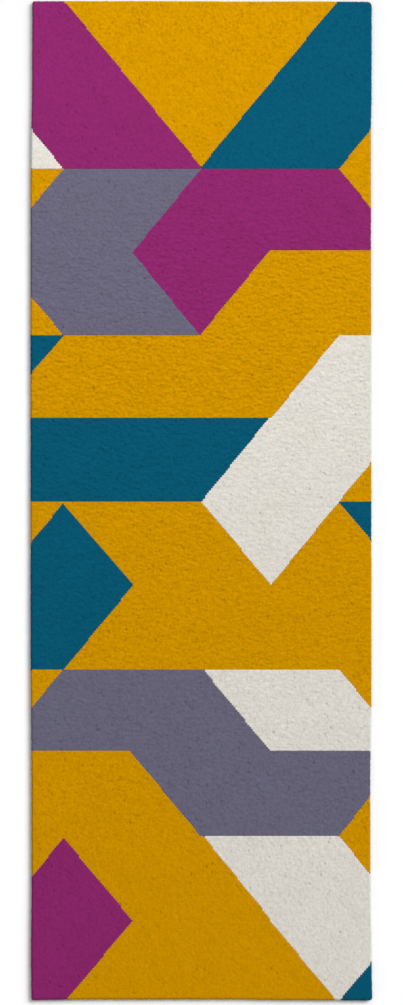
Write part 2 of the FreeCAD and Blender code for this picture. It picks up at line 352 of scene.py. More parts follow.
class Lattice:
    """The vertices of the pile's top in their straight lines, and the tufts beside each."""

    def __init__(self):
        x_lines, y_lines = tuft_lines()
        self.label = field_of_each_tuft(x_lines, y_lines)
        tuft_rows, tuft_columns = self.label.shape
        self.x, self.y = np.meshgrid(subdivided(x_lines), subdivided(y_lines))
        self.shape = self.x.shape
        rows, columns = self.shape
        iy, ix = np.meshgrid(np.arange(rows), np.arange(columns), indexing="ij")
        self.gap_x = ix % SUB == 0
        self.gap_y = iy % SUB == 0
        self.crossing = self.gap_x & self.gap_y
        self.inner = ~self.gap_x & ~self.gap_y
        self.after_x = np.minimum(ix // SUB, tuft_columns - 1)
        self.after_y = np.minimum(iy // SUB, tuft_rows - 1)
        self.before_x = np.where(self.gap_x, np.maximum(ix // SUB - 1, 0), self.after_x)
        self.before_y = np.where(self.gap_y, np.maximum(iy // SUB - 1, 0), self.after_y)
        self.from_end = np.minimum(iy, rows - 1 - iy)
        self.from_side = np.minimum(ix, columns - 1 - ix)
        self.from_rim = np.minimum(self.from_end, self.from_side)
        self.rim = self.from_rim == 0

    def of_tuft(self, values):
        """The value of the tuft that each vertex is on, or is the gap before."""
        return values[self.after_y, self.after_x]

    def blended(self, values):
        """The value of the tuft that each vertex is on. In a gap, the mean of those beside it."""
        total = 0.0
        for rows in (self.before_y, self.after_y):
            for columns in (self.before_x, self.after_x):
                total = total + values[rows, columns]
        return total / 4.0


# -------- borders between colours

def outline_sides():
    """The straight sides of every pile field, each as its two ends."""
    sides = []
    for node in PILE_NODES:
        seen = {}
        for triangle in np.round(bottom_triangles(node), 5):
            for k in range(3):
                ends = tuple(sorted((tuple(triangle[k]), tuple(triangle[(k + 1) % 3]))))
                seen[ends] = seen.get(ends, 0) + 1
        sides += [np.array(ends) for ends, times in seen.items() if times == 1]
    return sides


def drawn_to_outline(points):
    """How far each point moves towards the nearest straight side: all the way to one across the
    rug, and part of the way to a diagonal."""
    best = np.full(len(points), np.inf)
    shift = np.zeros(points.shape)
    wander = RNG.normal(0.0, BORDER_WANDER, points.shape)
    for p, q in outline_sides():
        along = q - p
        share = np.clip((points - p) @ along / (along @ along), 0.0, 1.0)
        gap = p + share[:, None] * along - points
        distance = np.hypot(*gap.T)
        closer = distance < best
        best[closer] = distance[closer]
        level = abs(along[1]) < 0.1 * abs(along[0])
        shift[closer] = gap[closer] if level else BORDER_EASE * gap[closer] + wander[closer]
    return shift


def border_vertices(label, shape):
    """Which vertices lie on a border between two colours."""
    fine = np.repeat(np.repeat(label, SUB, axis=0), SUB, axis=1)
    across = fine[1:] != fine[:-1]
    beside = fine[:, 1:] != fine[:, :-1]
    border = np.zeros(shape, bool)
    border[1:-1, :-1] |= across
    border[1:-1, 1:] |= across
    border[:-1, 1:-1] |= beside
    border[1:, 1:-1] |= beside
    return border


def spread_from(border, fixed):
    """Values fixed on the border, which fade out over the vertices beside it."""
    spread = fixed.copy()
    for _ in range(BORDER_ROUNDS):
        around = np.zeros(fixed.shape)
        around[1:-1, 1:-1] = 0.25 * (
            spread[2:, 1:-1] + spread[:-2, 1:-1] + spread[1:-1, 2:] + spread[1:-1, :-2]
        )
        spread = np.where(border, fixed, around)
    return spread


def eased_borders(lattice):
    """Draws the stepped borders between colours part of the way to the straight ones, and takes
    the vertices beside them along. The rim stays as it is."""
    border = border_vertices(lattice.label, lattice.shape)
    movable = border & ~lattice.rim
    points = np.stack((lattice.x[movable], lattice.y[movable]), axis=1)
    shift = drawn_to_outline(points)
    moved = []
    for value, step in ((lattice.x, shift[:, 0]), (lattice.y, shift[:, 1])):
        fixed = np.zeros(lattice.shape)
        fixed[movable] = step
        moved.append(value + spread_from(border, fixed))
    return moved[0], moved[1], border


# -------- the pile's surface

def tuft_values(shape):
    """What each tuft is like: its height, its lean, its tone, and 1 if it has sunk, or else 0."""
    height = RNG.normal(0.0, TUFT_HEIGHT, shape)
    lean_x = limited(LEAN_X, MOST_LEAN_X, shape)
    lean_y = limited(LEAN_Y, MOST_LEAN_Y, shape)
    tone = np.clip(0.5 + RNG.normal(0.0, TUFT_TONE, shape), 0.0, 1.0)
    sunk = RNG.random(shape) < SUNK_SHARE
    height = np.where(sunk, -SUNK_DEPTH, height)
    return {"height": height, "lean": (lean_x, lean_y), "tone": tone, "sunk": sunk * 1.0}


def colour_of(node):
    return node.split("_")[1]


def relief_strength(lattice):
    """How strong the relief is in each vertex's field."""
    strength = [RELIEF_OF_COLOUR[colour_of(n)] * RELIEF_OF_FIELD.get(n, 1.0) for n in PILE_NODES]
    return np.array(strength)[lattice.of_tuft(lattice.label)]


def relief_and_hollows(lattice):
    """The relief of the pile as a whole, where tufts bloom into each other, and its hollows."""
    x, y, shape = lattice.x, lattice.y, lattice.shape
    lumps = of_steepness_1(soft_noise(shape, LUMP, seed=21), x, y)
    grain = of_steepness_1(grain_noise(shape, GRAIN, seed=22), x, y)
    hollow = soft_noise(shape, HOLLOW, seed=25)
    patches = PATCH_HEIGHT * soft_noise(shape, PATCH, seed=23)
    swell = SWELL_HEIGHT * soft_noise(shape, SWELL, seed=24)
    strength = relief_strength(lattice)
    share = np.interp(y, STATIONS, GRAIN_SHARE)
    relief = np.sqrt(1.0 - share) * lumps + np.sqrt(share) * grain
    relief = relief * np.interp(y, STATIONS, STEEPNESS) * strength
    hollow = hollow + HOLLOW_SKEW * (hollow**2 - 1.0)
    hollow = hollow * np.interp(y, STATIONS, HOLLOWNESS) * strength
    return relief - HOLLOW_DEPTH * hollow + patches + swell, hollow


def top_heights(lattice, tufts, relief):
    """The height of each vertex of the pile's top: lower in the gaps and at the rounded rim."""
    unevenness = 1.0 + GAP_SPREAD * RNG.normal(0.0, 1.0, lattice.shape)
    depth = GAP * np.where(lattice.crossing, CROSSING, 1.0) * unevenness
    depth = np.where(lattice.inner, 0.0, np.clip(depth, 0.0, DEEPEST_GAP))
    level = relief + lattice.blended(tufts["height"]) - depth
    level = np.clip(level, LOWEST_LEVEL, HIGHEST_LEVEL)
    return PILE_TOP + MEAN_LEVEL + level - rim_drop(lattice.x, lattice.y)


def jostled(lattice, tufts, x, y, border):
    """Each tuft leans its own way and the gaps stray. The rim and the borders keep still."""
    to_outline = np.minimum(HALF_X - np.abs(lattice.x), HALF_Y - np.abs(lattice.y))
    ease = np.clip((to_outline - STILL_AT_RIM) / (FREE_FROM_RIM - STILL_AT_RIM), 0.0, 1.0)
    ease = ease * ~(lattice.rim | border)
    stray = limited(GAP_STRAY, MOST_GAP_STRAY, (2, *lattice.shape))
    lean_x, lean_y = tufts["lean"]
    x = x + ease * np.where(lattice.inner, lattice.of_tuft(lean_x), stray[0])
    y = y + ease * np.where(lattice.inner, lattice.of_tuft(lean_y), stray[1])
    return x, y


def splayed(lattice, x, y):
    """Along the outline the tufts splay, and the gaps between them lie back. Also how far back
    each vertex lies."""
    at_end = lattice.from_end < lattice.from_side
    own = np.where(at_end, SPLAY_END[lattice.after_x], SPLAY_SIDE[lattice.after_y])
    rib = RIB_DEPTH * np.where(at_end, lattice.gap_x, lattice.gap_y)
    fade = SPLAY_INWARD[np.minimum(lattice.from_rim, len(SPLAY_INWARD) - 1)]
    back = (rib + own) * fade
    x = x - np.where(at_end, 0.0, np.sign(x) * back)
    y = y - np.where(at_end, np.sign(y) * back, 0.0)
    return x, y, back


def pile_layers(lattice, x, y, z, back):
    """The pile's vertices in layers: its top, the levels of its flank and its base, which differ
    only at the rim. Also the way out at each vertex of the rim."""
    nx, ny = outward(lattice.x, lattice.y)
    nx, ny = nx * lattice.rim, ny * lattice.rim
    layers = [np.stack((x, y, z), axis=-1)]
    for inset, share in FLANK_LEVELS:
        out = RIM_INSET - inset + FLANK_UNEVEN * RNG.normal(0.0, 1.0, lattice.shape)
        height = PILE_BASE + share * (z - PILE_BASE)
        layers.append(np.stack((x + nx * out, y + ny * out, height), axis=-1))
    out = RIM_INSET - BASE_INSET + BASE_RIB * back
    layers.append(np.stack((x + nx * out, y + ny * out, 0.0 * z + PILE_BASE), axis=-1))
    for layer in layers:
        layer[..., 0], layer[..., 1] = strayed(layer[..., 0], layer[..., 1])
    return layers, np.stack((nx, ny), axis=-1)


def tone_and_painted_shade(lattice, tufts, hollow):
    """What the wool's material reads at each vertex: its tone, and painted shade in the gaps, in
    the hollows and on sunk tufts.
    """
    # Painted shade down between the tufts, deepest where two gaps cross
    gap = np.where(lattice.inner, 0.0, np.where(lattice.crossing, 1.0, GAP_PAINTED_SHADE))
    # Painted shade: darker wool in the hollows and on sunk tufts
    painted_shade = MEAN_PAINTED_SHADE + HOLLOW_TO_PAINTED_SHADE * hollow + SUNK_TO_PAINTED_SHADE * lattice.blended(tufts["sunk"])
    tone = lattice.blended(tufts["tone"])
    return np.stack((tone, gap, np.clip(painted_shade, 0.0, 1.0), np.ones(lattice.shape)), axis=-1)


def build_pile():
    """The lattice, its vertices in layers, the way out at its rim, and its colour data."""
    lattice = Lattice()
    tufts = tuft_values(lattice.label.shape)
    relief, hollow = relief_and_hollows(lattice)
    z = top_heights(lattice, tufts, relief)
    x, y, border = eased_borders(lattice)
    x, y = jostled(lattice, tufts, x, y, border)
    x, y, back = splayed(lattice, x, y)
    x, y = rounded_corners(x, y, RIM_INSET)
    layers, way_out = pile_layers(lattice, x, y, z, back)
    return lattice, layers, way_out, tone_and_painted_shade(lattice, tufts, hollow)


# -------- loose ends of wool

STRAND_FACES = ((0, 2, 1), (0, 1, 4, 3), (1, 2, 5, 4), (2, 0, 3, 5), (3, 4, 6), (4, 5, 6), (5, 3, 6))
STRAND_POINTS = 7


def rim_strands(lattice, layers, way_out):
    """The points of every end of wool that sticks out of the flank, STRAND_POINTS to each: two
    rings of three and a tip. Also the pile field that each belongs to."""
    rng = np.random.default_rng(77)
    iy, ix = np.nonzero(np.hypot(way_out[..., 0], way_out[..., 1]) > 0.5)
    iy, ix = np.repeat(iy, STRANDS_AT_VERTEX), np.repeat(ix, STRANDS_AT_VERTEX)
    count = len(iy)
    field = lattice.of_tuft(lattice.label)[iy, ix]
    level = rng.choice(STRAND_LEVELS, count)
    stack = np.stack(layers)
    share = rng.random(count)[:, None]
    surface = stack[level, iy, ix] * (1.0 - share) + stack[level + 1, iy, ix] * share
    turn = rng.normal(0.0, STRAND_TURN, count)
    out_x, out_y = way_out[iy, ix].T
    axis_x = out_x * np.cos(turn) - out_y * np.sin(turn)
    axis_y = out_x * np.sin(turn) + out_y * np.cos(turn)
    axis_z = rng.normal(STRAND_RISE, STRAND_RISE_SPREAD, count)
    axis = np.stack((axis_x, axis_y, axis_z), axis=1)
    axis /= np.linalg.norm(axis, axis=1)[:, None]
    sideways = rng.uniform(-STRAND_SPREAD, STRAND_SPREAD, count)[:, None]
    surface[:, :2] += sideways * np.stack((-out_y, out_x), axis=1)
    reach = np.clip(rng.exponential(STRAND_REACH, count), LEAST_REACH, MOST_REACH)[:, None]
    at_top_or_right = np.maximum(out_x, out_y)[:, None] > 0.5
    reach = np.where(at_top_or_right, SHORT_REACH, 1.0) * reach
    root = surface - STRAND_ROOT * axis
    middle = surface + STRAND_MIDDLE * reach * axis
    tip = surface + reach * axis - np.array([0.0, 0.0, STRAND_DROOP]) * reach
    across = np.cross(axis, np.array([0.0, 0.0, 1.0]))
    across /= np.linalg.norm(across, axis=1)[:, None]
    upward = np.cross(axis, across)
    radius = STRAND_RADIUS * rng.uniform(THIN_STRAND, THICK_STRAND, count)[:, None]
    points = []
    for centre, width in ((root, 1.0), (middle, STRAND_TAPER)):
        for angle in np.radians([90.0, 210.0, 330.0]):
            spoke = math.cos(angle) * across + math.sin(angle) * upward
            points.append(centre + width * radius * spoke)
    points.append(tip)
    return np.stack(points, axis=1), field


# -------- one mesh for each field

# The sides of a tuft, clockwise seen from above: the row and column of a side's first vertex,
# and the step to its next
SIDES = {
    "up": (0, 0, 0, 1), "right": (0, SUB, 1, 0), "down": (SUB, SUB, 0, -1), "left": (SUB, 0, -1, 0)
}


def top_quads(mask, columns):
    """The faces of a field's top."""
    b, a = np.nonzero(mask)
    corner = b * SUB * columns + a * SUB
    quads = []
    for q in range(SUB):
        for p in range(SUB):
            first = corner + q * columns + p
            quads.append(np.stack((first, first + columns, first + columns + 1, first + 1), axis=1))
    return np.concatenate(quads)


def open_sides(mask):
    """For each side, the tufts of a field that have no tuft of it beyond that side."""
    padded = np.pad(mask, 1)
    return {
        "up": ~padded[:-2, 1:-1] & mask,
        "down": ~padded[2:, 1:-1] & mask,
        "left": ~padded[1:-1, :-2] & mask,
        "right": ~padded[1:-1, 2:] & mask,
    }


def wall_faces(side, cells, shape):
    """The walls under one side of each tuft in cells. At the rim a wall is the smooth flank, with
    a quad between each two layers. Inside it is flat, from the top to the base."""
    rows, columns = shape
    layer = rows * columns
    base = BASE_LAYER * layer
    rim = np.ones(shape, bool)
    rim[1:-1, 1:-1] = False
    rim = rim.ravel()
    cell_rows, cell_columns = np.nonzero(cells)
    y0, x0, dy, dx = SIDES[side]
    smooth, flat = [], []
    for step in range(SUB):
        iy = cell_rows * SUB + y0 + dy * step
        ix = cell_columns * SUB + x0 + dx * step
        v, w = iy * columns + ix, (iy + dy) * columns + ix + dx
        v_at_rim, w_at_rim = rim[v], rim[w]
        on_rim = v_at_rim & w_at_rim
        for k in range(BASE_LAYER):
            low, high = k * layer, (k + 1) * layer
            quad = np.stack((v + low, w + low, w + high, v + high), axis=1)
            smooth.append(quad[on_rim])
        plain = ~v_at_rim & ~w_at_rim
        flat.append(np.stack((v, w, w + base, v + base), axis=1)[plain])
        for n in np.nonzero(v_at_rim ^ w_at_rim)[0]:
            loop = [v[n], w[n]]
            if w_at_rim[n]:
                loop += [w[n] + k * layer for k in FLANK_LAYERS]
            loop += [w[n] + base, v[n] + base]
            if v_at_rim[n]:
                loop += [v[n] + k * layer for k in reversed(FLANK_LAYERS)]
            flat.append(np.array([loop]))
    return smooth, flat


def base_faces(mask, sides, shape):
    """One face under each tuft. It has a vertex wherever a wall stands on it."""
    rows, columns = shape
    base = BASE_LAYER * rows * columns
    faces = []
    for cell_row, cell_column in zip(*np.nonzero(mask)):
        loop = []
        for side, (y0, x0, dy, dx) in SIDES.items():
            iy, ix = cell_row * SUB + y0, cell_column * SUB + x0
            stops = range(SUB) if sides[side][cell_row, cell_column] else (0,)
            loop += [(iy + dy * s) * columns + ix + dx * s + base for s in stops]
        faces.append(np.array([loop]))
    return faces


def field_faces(mask, shape):
    """The smooth and the flat faces of one field, as arrays of vertex numbers in its layers."""
    sides = open_sides(mask)
    smooth, flat = [top_quads(mask, shape[1])], []
    for side, cells in sides.items():
        round_walls, flat_walls = wall_faces(side, cells, shape)
        smooth += round_walls
        flat += flat_walls
    return smooth, flat + base_faces(mask, sides, shape)


def sorted_faces(smooth, flat):
    """All vertex numbers of the faces in a row, where each face starts, and which are smooth."""
    by_size = {}
    for group, is_smooth in ((smooth, True), (flat, False)):
        for faces in group:
            if len(faces):
                by_size.setdefault((faces.shape[1], is_smooth), []).append(faces)
    loops, starts, smoothness = [], [], []
    at = 0
    for (size, is_smooth), groups in sorted(by_size.items()):
        faces = np.concatenate(groups)
        loops.append(faces.ravel())
        starts.append(at + size * np.arange(len(faces)))
        smoothness.append(np.full(len(faces), is_smooth))
        at += faces.size
    return np.concatenate(loops), np.concatenate(starts), np.concatenate(smoothness)


def pile_mesh(name, layers, colour, mask, strands):
    """One field of pile: its top, walls and base, and the ends of wool that stick out of it."""
    shape = colour.shape[:2]
    in_layer = shape[0] * shape[1]
    smooth, flat = field_faces(mask, shape)
    first = len(layers) * in_layer + STRAND_POINTS * np.arange(len(strands))[:, None]
    smooth += [first + np.array(corners) for corners in STRAND_FACES]
    loops, starts, smoothness = sorted_faces(smooth, flat)
    used, loops = np.unique(loops, return_inverse=True)
    which, place = used // in_layer, used % in_layer
    stack = np.concatenate([layer.reshape(-1, 3) for layer in layers] + [strands.reshape(-1, 3)])
    # The second channel of the colour data is painted shade between and under the tufts: on the
    # strands, the flank and the base
    colours = np.tile([0.5, STRAND_PAINTED_SHADE, MEAN_PAINTED_SHADE, 1.0], (len(used), 1))
    in_pile = which <= BASE_LAYER
    colours[in_pile] = colour.reshape(-1, 4)[place[in_pile]]
    colours[np.isin(which, FLANK_LAYERS), 1] = FLANK_PAINTED_SHADE
    colours[which == BASE_LAYER, 1] = BASE_PAINTED_SHADE
    mesh = bpy.data.meshes.new(name)
    mesh.vertices.add(len(used))
    mesh.vertices.foreach_set("co", stack[used].astype(np.float32).ravel())
    mesh.loops.add(len(loops))
    mesh.loops.foreach_set("vertex_index", loops.astype(np.int32))
    mesh.polygons.add(len(starts))
    mesh.polygons.foreach_set("loop_start", starts.astype(np.int32))
    mesh.polygons.foreach_set("use_smooth", smoothness)
    mesh.update(calc_edges=True)
    mesh.validate()
    tuft = mesh.attributes.new("tuft", "FLOAT_COLOR", "POINT")
    tuft.data.foreach_set("color", colours.astype(np.float32).ravel())
    return mesh


# -------- the layers under the pile

# Each layer's section, in mm: how far inside the outline, and how high. It runs from the middle
# of the upper side round the edge to the middle of the lower side.
CANVAS_SECTION = (
    (70.0, 1.0), (50.0, 1.0), (47.5, 1.12), (45.5, 1.5), (43.8, 1.75), (41.0, 1.8), (22.0, 1.8),
    (8.0, 1.8), (4.3, 1.79), (3.7, 1.65), (3.5, 1.3), (3.7, 0.95), (4.3, 0.81), (8.0, 0.8),
    (22.0, 0.8), (42.4, 0.8), (43.8, 0.74), (44.9, 0.45), (46.4, 0.12), (49.0, 0.0), (70.0, 0.0),
)
LATEX_SECTION = (
    (70.0, 3.2), (30.0, 3.2), (10.0, 3.2), (4.2, 3.2), (3.5, 3.14), (3.3, 3.0), (3.5, 2.86),
    (4.2, 2.8), (10.0, 2.8), (29.6, 2.8), (30.6, 2.6), (31.0, 2.0), (32.0, 1.8), (41.0, 1.8),
    (43.8, 1.75), (45.5, 1.5), (47.5, 1.12), (50.0, 1.0), (70.0, 1.0),
)
FOLD_CENTRE = (3.2, 3.0)


def half_turn(radius, start, end, steps):
    """Part of a section: the folded edge of the tufting cloth, turned round FOLD_CENTRE."""
    inset, height = FOLD_CENTRE
    angles = np.radians(np.linspace(start, end, steps))
    return [(inset - radius * math.cos(a), height + radius * math.sin(a)) for a in angles]


CLOTH_SECTION = (
    [(40.0, 4.2), (24.0, 4.2), (12.0, 4.2), (6.0, 4.2)]
    + half_turn(1.2, 90.0, -90.0, 9)
    + [(6.0, 1.8), (12.0, 1.8), (22.0, 1.8), (29.3, 1.8), (29.85, 1.95), (30.0, 2.3)]
    + [(29.85, 2.65), (29.3, 2.8), (22.0, 2.8), (12.0, 2.8), (6.0, 2.8)]
    + half_turn(0.2, -90.0, 90.0, 5)
    + [(6.0, 3.2), (12.0, 3.2), (24.0, 3.2), (40.0, 3.2)]
)

# Half of the tape's section, in mm, from its outer selvedge to its middle: how far inside the
# outline, the upper level and the lower one. The selvedges are its thickest parts. The other
# half mirrors it, so two places that match add up to TAPE_SUM.
TAPE_HALF = (
    (3.5, 0.45, 0.35), (3.6, 0.64, 0.16), (4.1, 0.77, 0.03), (5.2, 0.80, 0.00),
    (6.6, 0.80, 0.02), (8.0, 0.79, 0.09), (14.0, 0.78, 0.11), (20.0, 0.78, 0.11),
)
TAPE_SUM = 47.0
TAPE_SECTION = TAPE_HALF + tuple((TAPE_SUM - i, u, w) for i, u, w in reversed(TAPE_HALF))
TAPE_STEP = 7.0 * MM
TAPE_WAVE = 0.15 * MM
MITRE_GAP = 0.15 * MM

CORNER_STOPS = np.array([0.0, 1.0, 2.2, 3.8, 6.0, 9.5, 15.0]) * MM
CLOTH_STEP = 14.0 * MM
BACK_STEP = 12.0 * MM
RIPPLE = 0.16 * MM
RIPPLE_WAVES = ((23.0, 11.0, 0.0), (-17.0, 31.0, 1.3), (61.0, 5.0, 0.4), (9.0, -47.0, 2.1))
RIPPLE_START, RIPPLE_GROWTH = 50.0 * MM, 40.0 * MM
SHARP_FOLD = math.radians(50.0)


def stations(half, step):
    """Places from one end to the other as shares of half, closer together near the corners."""
    first = CORNER_STOPS[-1] + step / 2.0
    count = round(2.0 * (half - first) / step) + 1
    middle = np.linspace(first - half, half - first, count)
    return np.concatenate((CORNER_STOPS - half, middle, half - CORNER_STOPS[::-1])) / half


def ripple(x, y):
    """The slight unevenness of layers glued by hand, from 0 near the border to RIPPLE inside."""
    waves = sum(np.sin(a * x + b * y + start) for a, b, start in RIPPLE_WAVES)
    inside = np.minimum(HALF_X - np.abs(x), HALF_Y - np.abs(y)) - RIPPLE_START
    return RIPPLE * np.clip(inside / RIPPLE_GROWTH, 0.0, 1.0) * (0.5 + 0.5 * waves / len(RIPPLE_WAVES))


def smooth_mesh(name, points, faces):
    """A closed mesh, smooth except at its sharp edges, its faces turned outward."""
    mesh = bpy.data.meshes.new(name)
    mesh.from_pydata(points, [], faces)
    solid = bmesh.new()
    solid.from_mesh(mesh)
    bmesh.ops.recalc_face_normals(solid, faces=solid.faces)
    solid.to_mesh(mesh)
    solid.free()
    mesh.polygons.foreach_set("use_smooth", np.ones(len(mesh.polygons), bool))
    mesh.set_sharp_from_angle(angle=SHARP_FOLD)
    return mesh


def layer_mesh(name, section, step, ripple_above, ripple_below):
    """A layer as large as the rug: a plate for each side, joined round the edge by rings."""
    u, v = np.meshgrid(stations(HALF_X, step), stations(HALF_Y, step))
    number = np.arange(u.size).reshape(u.shape)
    loop = np.concatenate((number[0, :-1], number[:-1, -1], number[-1, :0:-1], number[:0:-1, 0]))
    u, v = u.ravel(), v.ravel()
    points, rings = [], []
    count = 0
    for k, (inset, z) in enumerate(section):
        plate = k in (0, len(section) - 1)
        which = slice(None) if plate else loop
        inset = inset * MM
        x, y = rounded_corners(u[which] * (HALF_X - inset), v[which] * (HALF_Y - inset), inset)
        lift = ripple(x, y) if (ripple_above if k == 0 else ripple_below) else 0.0
        x, y = strayed(x, y)
        points.append(np.stack((x, y, 0.0 * x + z * MM + lift), axis=1))
        rings.append(count + (loop if plate else np.arange(len(loop))))
        count += len(x)
    a = number[:-1, :-1].ravel()
    columns = number.shape[1]
    upper = np.stack((a, a + 1, a + 1 + columns, a + columns), axis=1)
    faces = [upper, upper[:, ::-1] + count - number.size]
    for inner, outer in zip(rings[:-1], rings[1:]):
        faces.append(np.stack((inner, outer, np.roll(outer, -1), np.roll(inner, -1)), axis=1))
    return smooth_mesh(name, np.concatenate(points), np.concatenate(faces).tolist())


def tape_mesh(name, side):
    """One length of tape, mitred where it meets its neighbours at the corners."""
    across, along = (HALF_X, HALF_Y) if side in ("left", "right") else (HALF_Y, HALF_X)
    insets, upper, lower = np.array(TAPE_SECTION).T * MM
    inset = np.concatenate((insets, insets[::-1]))
    level = np.concatenate((upper, lower[::-1]))
    inset, share = np.meshgrid(inset, stations(along, TAPE_STEP), indexing="ij")
    inset = inset + TAPE_WAVE * np.sin(19.0 * share * along + 1.7 * len(side))
    out = across - inset
    run = share * (along - inset - MITRE_GAP)
    x, y = {"left": (-out, run), "right": (out, run), "top": (run, out), "bottom": (run, -out)}[side]
    x, y = strayed(*rounded_corners(x, y, TAPE_SECTION[0][0] * MM))
    points = np.stack((x, y, 0.0 * x + level[:, None]), axis=-1).reshape(-1, 3)
    rows, columns = x.shape
    number = np.arange(x.size).reshape(x.shape)
    faces = []
    for k in range(rows):
        this, after = number[k], number[(k + 1) % rows]
        faces += np.stack((this[:-1], after[:-1], after[1:], this[1:]), axis=1).tolist()
    for end in (0, columns - 1):
        rim = number[:, end]
        for k in range(rows // 2 - 1):
            faces.append([rim[k], rim[k + 1], rim[rows - 2 - k], rim[rows - 1 - k]])
    return smooth_mesh(name, points, faces)


# -------- materials

class Nodes:
    """A short way to build a material's node tree."""

    def __init__(self, name):
        self.material = bpy.data.materials.new(name)
        self.material.use_nodes = True
        self.tree = self.material.node_tree
        self.shader = self.tree.nodes["Principled BSDF"]
        self.position = self.add("ShaderNodeTexCoord").outputs["Object"]

    def add(self, kind, **settings):
        node = self.tree.nodes.new(kind)
        for key, value in settings.items():
            setattr(node, key, value)
        return node

    def link(self, source, target):
        self.tree.links.new(source, target)

    def put(self, value, target):
        if isinstance(value, bpy.types.NodeSocket):
            self.link(value, target)
        else:
            target.default_value = value

    def math(self, operation, a, b=0.0, c=0.0):
        node = self.add("ShaderNodeMath", operation=operation)
        for value, target in zip((a, b, c), node.inputs):
            self.put(value, target)
        return node.outputs[0]

    def varied(self, value, by, amount, middle=0.5):
        """The value, changed by amount times how far by is above middle."""
        return self.math("MULTIPLY_ADD", by, amount, self.math("SUBTRACT", value, middle * amount))

    def noise(self, scale, detail=2.0, rough=0.5, stretch=(1.0, 1.0, 1.0)):
        mapping = self.add("ShaderNodeMapping")
        self.link(self.position, mapping.inputs["Vector"])
        mapping.inputs["Scale"].default_value = stretch
        node = self.add("ShaderNodeTexNoise")
        self.link(mapping.outputs[0], node.inputs["Vector"])
        for name, value in (("Scale", scale), ("Detail", detail), ("Roughness", rough)):
            node.inputs[name].default_value = value
        return node.outputs["Fac"]

    def scaled(self, colour, factor):
        node = self.add("ShaderNodeVectorMath", operation="SCALE")
        self.put(colour, node.inputs[0])
        self.put(factor, node.inputs["Scale"])
        return node.outputs[0]

    def mix(self, factor, code_a, code_b):
        """A blend of two colours, each given as a web code."""
        node = self.add("ShaderNodeMix", data_type="RGBA")
        self.put(factor, node.inputs["Factor"])
        node.inputs["A"].default_value = (*linear(code_a), 1.0)
        node.inputs["B"].default_value = (*linear(code_b), 1.0)
        return node.outputs["Result"]

    def bump(self, height, strength, distance):
        node = self.add("ShaderNodeBump")
        self.put(height, node.inputs["Height"])
        node.inputs["Strength"].default_value = strength
        node.inputs["Distance"].default_value = distance
        self.link(node.outputs[0], self.shader.inputs["Normal"])

    def finish(self, colour, roughness, specular, sheen=0.0):
        self.put(colour, self.shader.inputs["Base Color"])
        self.put(roughness, self.shader.inputs["Roughness"])
        self.shader.inputs["Specular IOR Level"].default_value = specular
        self.shader.inputs["Sheen Weight"].default_value = sheen
        return self.material


def linear(code):
    """A colour written as a web code, as the linear values that a shader takes."""
    values = [int(code[i : i + 2], 16) / 255.0 for i in (0, 2, 4)]
    return [v / 12.92 if v <= 0.04045 else ((v + 0.055) / 1.055) ** 2.4 for v in values]


def wool(name, code, warm_code):
    """Cut wool pile: each tuft its own tone, painted shade between the tufts and in hollows, and
    fine fibres.
    """
    m = Nodes(name)
    tuft = m.add("ShaderNodeAttribute", attribute_name="tuft")
    parts = m.add("ShaderNodeSeparateColor")
    m.link(tuft.outputs["Color"], parts.inputs[0])
    tone, gap, painted_shade = parts.outputs[0], parts.outputs[1], parts.outputs[2]
    fibre = m.noise(scale=850.0, detail=3.0, rough=0.65)
    speck = m.noise(scale=160.0)
    dyeing = m.noise(scale=9.0)
    value = m.varied(1.0, tone, 0.12)
    value = m.varied(value, fibre, 0.20)
    value = m.varied(value, speck, 0.08)
    # Painted shade: darker down between the tufts, on the flank and under the pile
    value = m.varied(value, gap, -0.05, middle=0.0)
    # Painted shade: darker wool in hollows and on sunk tufts
    value = m.varied(value, painted_shade, -HOLLOW_PAINTED_SHADE, middle=MEAN_PAINTED_SHADE)
    rough = m.varied(0.92, fibre, 0.12)
    fluff = m.math("MULTIPLY_ADD", m.noise(scale=2400.0, detail=1.0), 0.4, fibre)
    m.bump(fluff, strength=0.5, distance=0.5 * MM)
    tint = [min(1.0, 1.3 * part) for part in linear(code)] + [1.0]
    m.shader.inputs["Specular Tint"].default_value = tint
    m.shader.inputs["Sheen Tint"].default_value = tint
    m.shader.inputs["Sheen Roughness"].default_value = 0.6
    colour = m.scaled(m.mix(dyeing, code, warm_code), value)
    return m.finish(colour, rough, specular=0.08, sheen=0.10)


YARN_WANDER = 2.0
BAND_TURNS = 0.125
BAND_LEAN = 9.0


